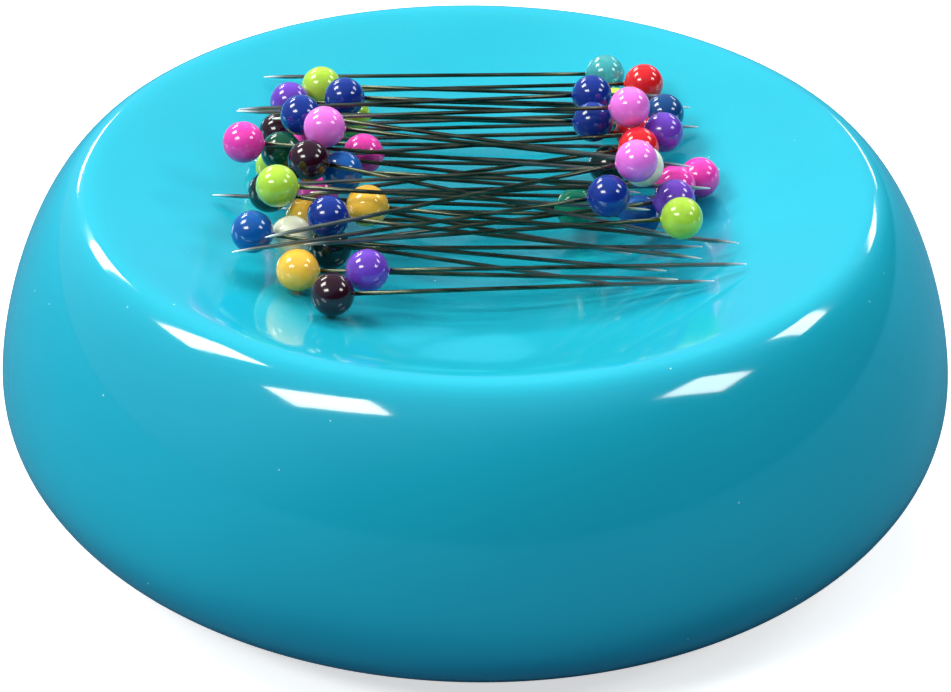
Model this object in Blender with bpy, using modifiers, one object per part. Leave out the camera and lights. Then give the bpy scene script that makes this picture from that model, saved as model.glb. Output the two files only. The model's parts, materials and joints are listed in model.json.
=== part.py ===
"""Magnetic pin dish: a round moulded shell with a dished top, a bar magnet clamped
under the dish, a screwed base on rubber feet, and a heap of ball-headed pins.

Metres, +Z up. The origin is on the table, under the middle of the dish.
"""
import math

import bmesh
import bpy
import numpy as np
from mathutils import Vector

MM = 0.001

# ---------------------------------------------------------------- driving sizes
# Shell
DISH_DIAMETER = 108.0 * MM
DISH_HEIGHT = 38.0 * MM
RIM_WIDTH = 10.6 * MM
WIDEST_HEIGHT = 14.8 * MM
TUCK_WIDTH = 17.0 * MM
SHELL_LIFT = 1.2 * MM
BOWL_DEPTH = 9.5 * MM
WALL = 2.2 * MM
SHOULDER_EXPONENT = 1.56
TUCK_EXPONENT = 2.08
BOWL_EXPONENT = 1.2
SHELL_STEPS = 48

# Magnet and its pole plates
MAGNET_LENGTH = 46.0 * MM
MAGNET_WIDTH = 18.0 * MM
MAGNET_HEIGHT = 10.0 * MM
POLE_THICKNESS = 2.0 * MM

# Cradle that clamps the magnet up against the dish
CRADLE_WALL = 1.6 * MM
CRADLE_SIDE_HEIGHT = 6.0 * MM
EAR_RADIUS = 4.4 * MM
EAR_THICKNESS = 2.0 * MM

# Base and feet
BASE_LIFT = 0.4 * MM
BASE_LIP = 0.5 * MM
BASE_PLATE = 1.6 * MM
BASE_SCREW_ANGLES = (90.0, 230.0, 310.0)
FOOT_RADIUS = 5.0 * MM
FOOT_THICKNESS = 0.8 * MM
FOOT_INSET = 2.5 * MM
FOOT_ANGLES = (30.0, 150.0, 270.0)

# Screws and the posts they bite into
SCREW_RADIUS = 1.3 * MM
SCREW_REACH = 7.0 * MM
SCREW_HEAD_RADIUS = 2.7 * MM
SCREW_HEAD_HEIGHT = 1.7 * MM
POST_RADIUS = 3.0 * MM

# Pins
PIN_LENGTH = 43.0 * MM
PIN_HEAD_RADIUS = 2.3 * MM
PIN_WIRE_RADIUS = 0.3 * MM
PIN_POINT_LENGTH = 3.0 * MM
PIN_POINT_RADIUS = 0.06 * MM
PIN_STEPS = 10
HEAD_ARC_STEPS = 6

# How far a falling pin may roll aside or slide, and in what steps it looks for its rest
ROLL = 1.0 * MM
SLIDE_FORWARD = 8.0 * MM
SLIDE_BACK = 5.0 * MM
ROLL_STEP = 0.5 * MM
SLEW_ROOM = 6.0
PITCH_ROOM = 9.0
LAYOUT_DROP = 2.0 * MM
LAYOUT_VIEW = 32.0

# Clearances
FIT_GAP = 0.3 * MM
PIN_GAP = 0.34 * MM

# ------------------------------------------------------------------- pin layout
# One line for each pin, in the order they were dropped: first a lower layer and then
# an upper one, each from the front to the back. Head on the left or the right;
# millimetres of the head to the right of the middle and behind it; degrees that the
# point is turned towards the back. The distance behind the middle is that of a head
# LAYOUT_DROP below the rim. A head that comes to rest higher lies further forward, so
# that it looks the same from LAYOUT_VIEW degrees above the front.
LEFT, RIGHT = 1, -1
PIN_LAYOUT = (
    ("black_green", LEFT, -16, -14, 2),
    ("cream", LEFT, -19, -12, -1),
    ("yellow", LEFT, -19, -7, 2),
    ("mid_blue", RIGHT, 18, -6, 1),
    ("clear_green", RIGHT, 11, -4, -2),
    ("black_green", LEFT, -23, -2, -1),
    ("purple", RIGHT, 21, -3, 3),
    ("magenta", LEFT, -18, -1, 1),
    ("lime", LEFT, -23, 4, 1),
    ("magenta", RIGHT, 25, 3, -2),
    ("black_green", RIGHT, 15, 6, -2),
    ("magenta", LEFT, -13, 7, -1),
    ("dark_green", LEFT, -22, 7, -1),
    ("magenta", LEFT, -19, 7, 3),
    ("red", RIGHT, 18, 9, -3),
    ("red", RIGHT, 17, 11, 3),
    ("maroon", LEFT, -23, 12, 0),
    ("lime", LEFT, -15, 17, -6),
    ("navy", RIGHT, 21, 17, 0),
    ("purple", LEFT, -22, 17, -1),
    ("lime", RIGHT, 16, 18, 2),
    ("dark_blue", LEFT, -15, 20, 1),
    ("red", RIGHT, 19, 23, 0),
    ("teal", RIGHT, 15, 25, -2),
    ("maroon", LEFT, -15, -24, 8),
    ("yellow", LEFT, -19, -19, 2),
    ("purple", LEFT, -12, -19, 7),
    ("mid_blue", LEFT, -23, -11, -4),
    ("yellow", LEFT, -12, -5, -2),
    ("magenta", RIGHT, 22, 1, -4),
    ("mid_blue", LEFT, -15, 2, -1),
    ("maroon", LEFT, -18, 4, -2),
    ("cream", RIGHT, 19, 4, 0),
    ("magenta", LEFT, -26, 8, -2),
    ("purple", RIGHT, 20, 10, -4),
    ("dark_blue", RIGHT, 14, 12, 0),
    ("dark_blue", LEFT, -20, 14, -3),
    ("pink", RIGHT, 17, 16, -4),
    ("lime", LEFT, -18, 17, 0),
    ("dark_blue", RIGHT, 13, 21, -2),
    ("dark_blue", LEFT, -16, -8, 1),
    ("lime", RIGHT, 22, -7, -9),
    ("dark_blue", RIGHT, 14, -3, -5),
    ("lime", LEFT, -21, -3, -1),
    ("pink", RIGHT, 17, 0, -11),
    ("pink", LEFT, -17, 8, -2),
)

# --------------------------------------------------------------------- finishes
# Base colour, roughness and metallic value of each material.
FINISHES = {
    "dish_plastic": ((0.03, 0.50, 0.62), 0.12, 0.0),
    "base_plastic": ((0.02, 0.02, 0.02), 0.5, 0.0),
    "ferrite": ((0.06, 0.06, 0.065), 0.7, 0.0),
    "pole_steel": ((0.55, 0.55, 0.56), 0.35, 1.0),
    "bright_steel": ((0.60, 0.60, 0.62), 0.25, 1.0),
    "foot_rubber": ((0.03, 0.03, 0.03), 0.9, 0.0),
    "head_lime": ((0.40, 0.68, 0.04), 0.15, 0.0),
    "head_dark_blue": ((0.01, 0.03, 0.30), 0.15, 0.0),
    "head_mid_blue": ((0.01, 0.09, 0.42), 0.15, 0.0),
    "head_navy": ((0.01, 0.07, 0.25), 0.15, 0.0),
    "head_purple": ((0.16, 0.05, 0.52), 0.15, 0.0),
    "head_maroon": ((0.03, 0.004, 0.012), 0.15, 0.0),
    "head_magenta": ((0.84, 0.04, 0.43), 0.15, 0.0),
    "head_pink": ((0.87, 0.16, 0.72), 0.15, 0.0),
    "head_dark_green": ((0.002, 0.08, 0.03), 0.15, 0.0),
    "head_black_green": ((0.004, 0.016, 0.012), 0.15, 0.0),
    "head_yellow": ((0.95, 0.54, 0.05), 0.15, 0.0),
    "head_red": ((0.75, 0.01, 0.015), 0.15, 0.0),
    "head_cream": ((0.83, 0.85, 0.68), 0.15, 0.0),
    "head_teal": ((0.05, 0.40, 0.40), 0.1, 0.0),
    "head_clear_green": ((0.01, 0.22, 0.12), 0.1, 0.0),
}


# ------------------------------------------------------------- scene housekeeping
def clear_scene():
    """Remove every object that the file opened with."""
    for item in list(bpy.data.objects):
        bpy.data.objects.remove(item, do_unlink=True)


def make_collection(name):
    """A new collection linked to the scene."""
    collection = bpy.data.collections.new(name)
    bpy.context.scene.collection.children.link(collection)
    return collection


def make_material(name):
    """A Principled material from the table of finishes."""
    colour, roughness, metallic = FINISHES[name]
    material = bpy.data.materials.new(name)
    material.use_nodes = True
    shader = material.node_tree.nodes["Principled BSDF"]
    shader.inputs["Base Color"].default_value = (*colour, 1.0)
    shader.inputs["Roughness"].default_value = roughness
    shader.inputs["Metallic"].default_value = metallic
    return material


def add_part(name, mesh, finish):
    """A named sub-part with its own finish."""
    part = bpy.data.objects.new(name, mesh)
    PARTS.objects.link(part)
    if not mesh.materials:
        mesh.materials.append(None)
    part.material_slots[0].link = "OBJECT"
    part.material_slots[0].material = MATERIALS[finish]
    return part


def add_cutter(name, mesh):
    """A tool solid for Boolean modifiers, left out of the finished object."""
    tool = bpy.data.objects.new(name, mesh)
    CUTTERS.objects.link(tool)
    tool.hide_render = True
    tool.display_type = "WIRE"
    return tool


# ------------------------------------------------------------------ basic shapes
def mesh_from(bm, name):
    """Turn a finished bmesh into a mesh."""
    mesh = bpy.data.meshes.new(name)
    bm.to_mesh(mesh)
    bm.free()
    return mesh


def add_cylinder(bm, centre, radius, low, high, segments=24):
    """Add an upright cylinder from low to high; its vertices are returned."""
    made = bmesh.ops.create_cone(
        bm, cap_ends=True, segments=segments, radius1=radius, radius2=radius, depth=high - low
    )
    shift = Vector((centre[0], centre[1], (low + high) / 2))
    bmesh.ops.translate(bm, verts=made["verts"], vec=shift)
    return made["verts"]


def add_box(bm, size, centre):
    """Add a box of the given size; its vertices are returned."""
    made = bmesh.ops.create_cube(bm, size=1.0)
    bmesh.ops.scale(bm, verts=made["verts"], vec=Vector(size))
    bmesh.ops.translate(bm, verts=made["verts"], vec=Vector(centre))
    return made["verts"]


def turned_mesh(name, outline):
    """The edge-only mesh of a profile, given as (radius, height) from top to bottom."""
    mesh = bpy.data.meshes.new(name)
    points = [(radius, 0.0, height) for radius, height in outline]
    edges = [(i, i + 1) for i in range(len(points) - 1)]
    mesh.from_pydata(points, edges, [])
    return mesh


def turn(item, steps):
    """Spin an object's profile once about its own Z axis."""
    screw = item.modifiers.new("turn", "SCREW")
    screw.steps = steps
    screw.render_steps = steps
    screw.use_merge_vertices = True
    screw.merge_threshold = 1e-6
    screw.use_smooth_shade = True
    return screw


def combine(item, tool, operation):
    """Join or cut an object with a tool solid."""
    boolean = item.modifiers.new(operation.lower(), "BOOLEAN")
    boolean.operation = operation
    boolean.solver = "EXACT"
    boolean.object = tool


def soften(item, width, segments=2):
    """Round an object's edges."""
    bevel = item.modifiers.new("soften", "BEVEL")
    bevel.width = width
    bevel.segments = segments
    bevel.limit_method = "ANGLE"


def on_circle(radius, degrees):
    """A plan point at an angle on a circle about the dish's axis."""
    angle = math.radians(degrees)
    return radius * math.cos(angle), radius * math.sin(angle)


# ------------------------------------------------------------- the dish's surfaces
SHELL_RADIUS = DISH_DIAMETER / 2
CREST_RADIUS = SHELL_RADIUS - RIM_WIDTH
FOOT_EDGE_RADIUS = SHELL_RADIUS - TUCK_WIDTH
FLOOR_HEIGHT = DISH_HEIGHT - BOWL_DEPTH


def shoulder(inset, steps):
    """Points down the upper wall, a quarter superellipse from crest to widest ring."""
    across = RIM_WIDTH - inset
    up = DISH_HEIGHT - inset - WIDEST_HEIGHT
    power = 2 / SHOULDER_EXPONENT
    points = []
    for i in range(steps + 1):
        turn_angle = math.pi / 2 * i / steps
        radius = CREST_RADIUS + across * math.sin(turn_angle) ** power
        height = WIDEST_HEIGHT + up * max(math.cos(turn_angle), 0.0) ** power
        points.append((radius, height))
    return points


def tuck(inset, steps):
    """Points down the lower wall, a quarter superellipse from widest ring to edge."""
    down = WIDEST_HEIGHT - SHELL_LIFT
    power = 2 / TUCK_EXPONENT
    points = []
    for i in range(steps + 1):
        turn_angle = math.pi / 2 * i / steps
        radius = FOOT_EDGE_RADIUS + TUCK_WIDTH * max(math.cos(turn_angle), 0.0) ** power
        height = WIDEST_HEIGHT - down * math.sin(turn_angle) ** power
        points.append((radius - inset, height))
    return points


def bowl_height(radius):
    """Height of the dished top inside the crest."""
    share = np.clip(np.asarray(radius) / CREST_RADIUS, 0.0, 1.0)
    return DISH_HEIGHT - BOWL_DEPTH * (1 - share**2) ** BOWL_EXPONENT


def bowl_slope(radius):
    """Rise of the dished top for each unit outwards."""
    share = np.clip(np.asarray(radius) / CREST_RADIUS, 0.0, 1.0)
    steepness = 2 * BOWL_EXPONENT * BOWL_DEPTH / CREST_RADIUS
    return steepness * share * (1 - share**2) ** (BOWL_EXPONENT - 1)


def bowl_underside(radius):
    """Height of the moulding's lower face, one wall below the dished top."""
    return bowl_height(radius) - WALL * np.sqrt(1 + bowl_slope(radius) ** 2)


def outside_height(radius):
    """Height of the moulding's upper face at any radius, past the crest too."""
    share = np.clip((np.asarray(radius) - CREST_RADIUS) / RIM_WIDTH, 0.0, 1.0)
    fall = (1 - share**SHOULDER_EXPONENT) ** (1 / SHOULDER_EXPONENT)
    beyond = WIDEST_HEIGHT + (DISH_HEIGHT - WIDEST_HEIGHT) * fall
    return np.where(np.asarray(radius) > CREST_RADIUS, beyond, bowl_height(radius))


# -------------------------------------------------- heights of the parts inside
MAGNET_TOP = FLOOR_HEIGHT - WALL - FIT_GAP
MAGNET_BOTTOM = MAGNET_TOP - MAGNET_HEIGHT
POLE_TOP = float(bowl_underside(MAGNET_LENGTH / 2)) - FIT_GAP
STACK_HALF_LENGTH = MAGNET_LENGTH / 2 + FIT_GAP + POLE_THICKNESS
CRADLE_FLOOR_TOP = MAGNET_BOTTOM - FIT_GAP
CRADLE_BOTTOM = CRADLE_FLOOR_TOP - CRADLE_WALL
CRADLE_HALF_LENGTH = STACK_HALF_LENGTH + FIT_GAP + CRADLE_WALL
CRADLE_HALF_WIDTH = MAGNET_WIDTH / 2 + FIT_GAP + CRADLE_WALL
EAR_X = CRADLE_HALF_LENGTH + POST_RADIUS + FIT_GAP
EAR_TOP = CRADLE_BOTTOM + EAR_THICKNESS

OPENING_RADIUS = FOOT_EDGE_RADIUS - WALL
BASE_RADIUS = OPENING_RADIUS - FIT_GAP
BASE_LIP_RADIUS = FOOT_EDGE_RADIUS - WALL / 4
BASE_LIP_TOP = SHELL_LIFT - FIT_GAP
BASE_PLATE_TOP = BASE_LIFT + BASE_PLATE
SCREW_RECESS_TOP = BASE_LIFT + SCREW_HEAD_HEIGHT + FIT_GAP
BASE_BOSS_TOP = SCREW_RECESS_TOP + FIT_GAP + BASE_PLATE
FOOT_CIRCLE = BASE_RADIUS - FOOT_RADIUS - FOOT_INSET

HOLE_RADIUS = SCREW_RADIUS + FIT_GAP
RECESS_RADIUS = SCREW_HEAD_RADIUS + FIT_GAP
BASE_BOSS_RADIUS = RECESS_RADIUS + BASE_PLATE
BASE_SCREW_CIRCLE = BASE_RADIUS - max(BASE_BOSS_RADIUS, POST_RADIUS)
BASE_SCREW_PLACES = [on_circle(BASE_SCREW_CIRCLE, angle) for angle in BASE_SCREW_ANGLES]
CRADLE_SCREW_PLACES = [(-EAR_X, 0.0), (EAR_X, 0.0)]
FOOT_PLACES = [on_circle(FOOT_CIRCLE, angle) for angle in FOOT_ANGLES]


# ---------------------------------------------------------------- dish sub-parts
def shell_outline():
    """The wall's closed section: over the top and down outside, then back up inside."""
    top = [(CREST_RADIUS * i / 9, float(bowl_height(CREST_RADIUS * i / 9))) for i in range(9)]
    outside = shoulder(0.0, 9) + tuck(0.0, 8)[1:]
    inside = shoulder(WALL, 6) + tuck(WALL, 6)[1:]
    under = [(CREST_RADIUS * i / 7, float(bowl_underside(CREST_RADIUS * i / 7))) for i in range(7)]
    return top + outside + inside[::-1] + under[::-1]


def add_post(bm, place, low):
    """Add a post that rises into the middle of the bowl's wall and follows its slope."""
    verts = add_cylinder(bm, place, POST_RADIUS, low, FLOOR_HEIGHT, segments=20)
    for vert in verts:
        if vert.co.z > (low + FLOOR_HEIGHT) / 2:
            vert.co.z = float(bowl_height(math.hypot(vert.co.x, vert.co.y))) - WALL / 2
    top_faces = [face for face in bm.faces if len(face.verts) > 4 and face.normal.z > 0.5]
    bmesh.ops.triangulate(bm, faces=top_faces)


def make_shell():
    """The one-piece moulding: dished top, rolling rim, outer wall and five posts."""
    shell = add_part("dish_shell", turned_mesh("dish_shell", shell_outline()), "dish_plastic")
    turn(shell, SHELL_STEPS)

    posts = bmesh.new()
    holes = bmesh.new()
    for place in BASE_SCREW_PLACES:
        low = BASE_BOSS_TOP + FIT_GAP
        add_post(posts, place, low)
        add_cylinder(holes, place, HOLE_RADIUS, low - WALL, low + SCREW_REACH, segments=16)
    for place in CRADLE_SCREW_PLACES:
        low = EAR_TOP + FIT_GAP
        add_post(posts, place, low)
        add_cylinder(holes, place, HOLE_RADIUS, low - WALL, low + SCREW_REACH, segments=16)
    combine(shell, add_cutter("shell_posts", mesh_from(posts, "shell_posts")), "UNION")
    combine(shell, add_cutter("shell_holes", mesh_from(holes, "shell_holes")), "DIFFERENCE")


def make_base():
    """The base: a plate inside the shell's opening, with a thin lip under its edge."""
    outline = [
        (0.0, BASE_PLATE_TOP),
        (BASE_RADIUS, BASE_PLATE_TOP),
        (BASE_RADIUS, BASE_LIP_TOP),
        (BASE_LIP_RADIUS, BASE_LIP_TOP),
        (BASE_LIP_RADIUS, BASE_LIFT),
        (0.0, BASE_LIFT),
    ]
    base = add_part("base_cover", turned_mesh("base_cover", outline), "base_plastic")
    turn(base, SHELL_STEPS)

    bosses = bmesh.new()
    cuts = bmesh.new()
    for place in BASE_SCREW_PLACES:
        add_cylinder(bosses, place, BASE_BOSS_RADIUS, BASE_LIFT + BASE_LIP, BASE_BOSS_TOP)
        add_cylinder(cuts, place, RECESS_RADIUS, -BASE_LIFT, SCREW_RECESS_TOP)
    combine(base, add_cutter("base_bosses", mesh_from(bosses, "base_bosses")), "UNION")
    for place in FOOT_PLACES:
        add_cylinder(cuts, place, FOOT_RADIUS + FIT_GAP, -BASE_LIFT, FOOT_THICKNESS + FIT_GAP)
    combine(base, add_cutter("base_recesses", mesh_from(cuts, "base_recesses")), "DIFFERENCE")

    holes = bmesh.new()
    for place in BASE_SCREW_PLACES:
        add_cylinder(holes, place, HOLE_RADIUS, BASE_LIFT, BASE_BOSS_TOP + BASE_PLATE, segments=16)
    combine(base, add_cutter("base_holes", mesh_from(holes, "base_holes")), "DIFFERENCE")


def make_magnet():
    """The ferrite bar, close up under the middle of the dish."""
    bm = bmesh.new()
    height = (MAGNET_BOTTOM + MAGNET_TOP) / 2
    add_box(bm, (MAGNET_LENGTH, MAGNET_WIDTH, MAGNET_HEIGHT), (0.0, 0.0, 0.0))
    magnet = add_part("magnet_block", mesh_from(bm, "magnet_block"), "ferrite")
    magnet.location = (0.0, 0.0, height)
    soften(magnet, 0.5 * MM)


def make_pole_plates():
    """Two steel plates on the bar's ends, standing past it into the rising dish."""
    bm = bmesh.new()
    add_box(bm, (POLE_THICKNESS, MAGNET_WIDTH, POLE_TOP - MAGNET_BOTTOM), (0.0, 0.0, 0.0))
    mesh = mesh_from(bm, "pole_plate")
    reach = MAGNET_LENGTH / 2 + FIT_GAP + POLE_THICKNESS / 2
    for name, side in (("pole_plate_left", -1), ("pole_plate_right", 1)):
        plate = add_part(name, mesh, "pole_steel")
        plate.location = (side * reach, 0.0, (MAGNET_BOTTOM + POLE_TOP) / 2)
        soften(plate, 0.3 * MM, segments=1)


def make_cradle():
    """The tray that holds the magnet stack up, with a screw ear at each end."""
    wall_top = CRADLE_FLOOR_TOP + CRADLE_SIDE_HEIGHT
    size = (2 * CRADLE_HALF_LENGTH, 2 * CRADLE_HALF_WIDTH, wall_top - CRADLE_BOTTOM)
    bm = bmesh.new()
    add_box(bm, size, (0.0, 0.0, (wall_top + CRADLE_BOTTOM) / 2))
    cradle = add_part("magnet_cradle", mesh_from(bm, "magnet_cradle"), "base_plastic")

    ears = bmesh.new()
    for place in CRADLE_SCREW_PLACES:
        add_cylinder(ears, place, EAR_RADIUS, CRADLE_BOTTOM, EAR_TOP)
    combine(cradle, add_cutter("cradle_ears", mesh_from(ears, "cradle_ears")), "UNION")

    cuts = bmesh.new()
    room = (2 * (CRADLE_HALF_LENGTH - CRADLE_WALL), 2 * (CRADLE_HALF_WIDTH - CRADLE_WALL), size[2])
    add_box(cuts, room, (0.0, 0.0, CRADLE_FLOOR_TOP + size[2] / 2))
    for place in CRADLE_SCREW_PLACES:
        add_cylinder(cuts, place, HOLE_RADIUS, CRADLE_BOTTOM - WALL, EAR_TOP + WALL, segments=16)
    combine(cradle, add_cutter("cradle_cuts", mesh_from(cuts, "cradle_cuts")), "DIFFERENCE")


def screw_mesh():
    """A pan-head screw; its origin is on its axis, under the head's bearing face."""
    crown = 0.7
    outline = [
        (0.0, SCREW_REACH),
        (SCREW_RADIUS * crown, SCREW_REACH),
        (SCREW_RADIUS, SCREW_REACH - SCREW_RADIUS),
        (SCREW_RADIUS, 0.0),
        (SCREW_HEAD_RADIUS, 0.0),
        (SCREW_HEAD_RADIUS, -SCREW_HEAD_HEIGHT * crown),
        (SCREW_HEAD_RADIUS * crown, -SCREW_HEAD_HEIGHT),
        (0.0, -SCREW_HEAD_HEIGHT),
    ]
    return turned_mesh("screw", outline)


def make_screws():
    """Three screws up through the base and two up through the cradle's ears."""
    mesh = screw_mesh()
    base_height = SCREW_RECESS_TOP - FIT_GAP
    ear_height = CRADLE_BOTTOM - FIT_GAP
    names = ["base_screw_1", "base_screw_2", "base_screw_3"]
    names += ["cradle_screw_left", "cradle_screw_right"]
    heights = [base_height] * 3 + [ear_height] * 2
    for name, (x, y), height in zip(names, BASE_SCREW_PLACES + CRADLE_SCREW_PLACES, heights):
        screw = add_part(name, mesh, "bright_steel")
        screw.location = (x, y, height)
        turn(screw, 16)


def make_feet():
    """Three rubber pads set into the base; the dish stands on their lower faces."""
    edge = 0.3 * MM
    outline = [
        (0.0, FOOT_THICKNESS),
        (FOOT_RADIUS, FOOT_THICKNESS),
        (FOOT_RADIUS, edge),
        (FOOT_RADIUS - edge, 0.0),
        (0.0, 0.0),
    ]
    mesh = turned_mesh("foot", outline)
    for i, (x, y) in enumerate(FOOT_PLACES):
        foot = add_part("foot_%d" % (i + 1), mesh, "foot_rubber")
        foot.location = (x, y, 0.0)
        turn(foot, 24)


# -------------------------------------------------------------------------- pins
POINT_REACH = PIN_LENGTH - PIN_HEAD_RADIUS


def pin_mesh():
    """A ball head moulded on a wire that ends in a point; origin at the ball's centre."""
    neck = math.asin(PIN_WIRE_RADIUS / PIN_HEAD_RADIUS)
    outline = []
    for i in range(HEAD_ARC_STEPS + 1):
        angle = (math.pi - neck) * i / HEAD_ARC_STEPS
        outline.append((PIN_HEAD_RADIUS * math.sin(angle), PIN_HEAD_RADIUS * math.cos(angle)))
    outline.append((PIN_WIRE_RADIUS, PIN_POINT_LENGTH - POINT_REACH))
    outline.append((PIN_POINT_RADIUS, -POINT_REACH))
    outline.append((0.0, -POINT_REACH))
    outline[0] = (0.0, PIN_HEAD_RADIUS)
    return turned_mesh("pin", outline)


class Heap:
    """What is already in the dish, as two height maps on one square grid.

    One map holds how high a ball's centre has to be to clear everything below it,
    and the other the same for a point of a wire.
    """

    CELL = 0.25 * MM
    HALF = 190

    def __init__(self):
        steps = (np.arange(2 * self.HALF) - self.HALF + 0.5) * self.CELL
        self.x, self.y = np.meshgrid(steps, steps, indexing="ij")
        self.pins = []
        self.ball_map = self.bare_dish(PIN_HEAD_RADIUS)
        self.wire_map = self.bare_dish(PIN_WIRE_RADIUS)

    def bare_dish(self, radius):
        """Centre heights of a ball of this radius resting on the empty dish."""
        away = np.hypot(self.x, self.y)
        return outside_height(away) + (radius + PIN_GAP) * np.sqrt(1 + bowl_slope(away) ** 2)

    def add(self, head, reach):
        """Raise both maps over a pin, given its ball's centre and the way to its point."""
        self.pins.append((head, reach))
        along = (self.x - head[0]) * reach[0] + (self.y - head[1]) * reach[1]
        share = np.clip(along / (reach[0] ** 2 + reach[1] ** 2), 0.0, 1.0)
        wire_z = head[2] + share * reach[2]
        aside = np.hypot(self.x - head[0] - share * reach[0], self.y - head[1] - share * reach[1])
        from_head = np.hypot(self.x - head[0], self.y - head[1])
        for grid, radius in ((self.ball_map, PIN_HEAD_RADIUS), (self.wire_map, PIN_WIRE_RADIUS)):
            self.raise_over(grid, aside, wire_z, radius + PIN_WIRE_RADIUS + PIN_GAP)
            self.raise_over(grid, from_head, head[2], radius + PIN_HEAD_RADIUS + PIN_GAP)

    @staticmethod
    def raise_over(grid, distance, height, spacing):
        """Keep a map at least the spacing away from a round thing at this height."""
        dome = np.sqrt(np.maximum(spacing**2 - distance**2, 0.0)) + height
        np.maximum(grid, np.where(distance < spacing, dome, -1.0), out=grid)

    def look_up(self, grid, x, y):
        """Read a map at plan points."""
        last = 2 * self.HALF - 1
        columns = np.clip(np.rint(x / self.CELL + self.HALF - 0.5).astype(int), 0, last)
        rows = np.clip(np.rint(y / self.CELL + self.HALF - 0.5).astype(int), 0, last)
        return grid[columns, rows]

    def clearance(self, head, reach):
        """Smallest true gap between a pin and the pins already lying in the dish."""
        gap = 1.0
        for other_head, other_reach in self.pins:
            gap = min(gap, np.linalg.norm(head - other_head) - 2 * PIN_HEAD_RADIUS)
            mixed = PIN_HEAD_RADIUS + PIN_WIRE_RADIUS
            gap = min(gap, point_to_line(head, other_head, other_reach) - mixed)
            gap = min(gap, point_to_line(other_head, head, reach) - mixed)
            gap = min(gap, line_to_line(head, reach, other_head, other_reach) - 2 * PIN_WIRE_RADIUS)
        return gap

    def drop(self, side, x, y, slew):
        """Lower a pin until it rests, sliding, rolling and turning a little to lie lowest."""
        rolls = np.arange(-ROLL, ROLL + ROLL_STEP / 2, ROLL_STEP)
        slides = np.arange(-SLIDE_FORWARD, SLIDE_BACK + ROLL_STEP / 2, ROLL_STEP)
        slews = np.radians(slew + np.arange(-SLEW_ROOM, SLEW_ROOM + 0.5, 1.0))
        pitches = np.radians(np.arange(-PITCH_ROOM, PITCH_ROOM + 0.25, 0.5))
        roll, slide, turned, pitch = np.meshgrid(rolls, slides, slews, pitches, indexing="ij")
        head_x = x + roll
        head_y = y + slide
        heading = turned if side == LEFT else math.pi - turned
        height = self.look_up(self.ball_map, head_x, head_y)
        for share in np.linspace(0.06, 1.0, 50):
            out = share * POINT_REACH * np.cos(pitch)
            along_x = head_x + out * np.cos(heading)
            along_y = head_y + out * np.sin(heading)
            under = self.look_up(self.wire_map, along_x, along_y)
            height = np.maximum(height, under - share * POINT_REACH * np.sin(pitch))
        middle = height + 0.45 * POINT_REACH * np.sin(pitch)
        view = math.radians(LAYOUT_VIEW)
        higher = height - (DISH_HEIGHT - LAYOUT_DROP)
        out_of_place = np.abs(math.sin(view) * slide + math.cos(view) * higher)
        strain = 0.1 * MM * np.abs(np.degrees(turned) - slew) + 0.5 * np.abs(roll) + out_of_place
        best = np.unravel_index(np.argmin(middle + strain), pitch.shape)
        level = POINT_REACH * math.cos(pitch[best])
        rise = POINT_REACH * math.sin(pitch[best])
        reach = np.array([level * math.cos(heading[best]), level * math.sin(heading[best]), rise])
        head = np.array([head_x[best], head_y[best], height[best]])
        while self.clearance(head, reach) < FIT_GAP:
            head[2] += 0.05 * MM
        self.add(head, reach)
        return head, reach


def point_to_line(point, start, reach):
    """Distance from a point to a stretch of line."""
    share = np.clip(np.dot(point - start, reach) / np.dot(reach, reach), 0.0, 1.0)
    return np.linalg.norm(point - start - share * reach)


def line_to_line(start, reach, other_start, other_reach):
    """Distance between two stretches of line of the same length."""
    between = start - other_start
    square = np.dot(reach, reach)
    mixed = np.dot(reach, other_reach)
    own = np.dot(reach, between)
    other = np.dot(other_reach, between)
    spread = max(square * square - mixed * mixed, 1e-18)
    share = np.clip((mixed * other - own * square) / spread, 0.0, 1.0)
    other_share = np.clip((mixed * share + other) / square, 0.0, 1.0)
    share = np.clip((mixed * other_share - own) / square, 0.0, 1.0)
    return np.linalg.norm(between + share * reach - other_share * other_reach)


def make_pins():
    """Drop the pins into the dish one after another."""
    mesh = pin_mesh()
    heap = Heap()
    counts = {}
    for colour, side, x, y, slew in PIN_LAYOUT:
        counts[colour] = counts.get(colour, 0) + 1
        head, reach = heap.drop(side, x * MM, y * MM, slew)
        pin = add_part("pin_%s_%d" % (colour, counts[colour]), mesh, "head_" + colour)
        pin.rotation_mode = "QUATERNION"
        pin.rotation_quaternion = Vector((0.0, 0.0, -1.0)).rotation_difference(Vector(reach))
        pin.location = Vector(head)
        turn(pin, PIN_STEPS)


clear_scene()
PARTS = make_collection("magnetic_pin_dish")
CUTTERS = make_collection("cutters")
MATERIALS = {name: make_material(name) for name in FINISHES}

make_shell()
make_base()
make_magnet()
make_pole_plates()
make_cradle()
make_screws()
make_feet()
make_pins()
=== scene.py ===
# %% [markdown]
# # A magnetic pin dish
#
# The object is a round dish of glossy turquoise plastic, a hand's width across. A bar
# magnet under its hollow top holds a heap of ball-headed pins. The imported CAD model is
# the frame: it says where every part is and which parts move together. This lesson
# builds the visible pieces around that frame as surfaces worked out with numpy, and
# gives each one a finish made of shader nodes.

# %% Load the frame
import json
import math

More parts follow.
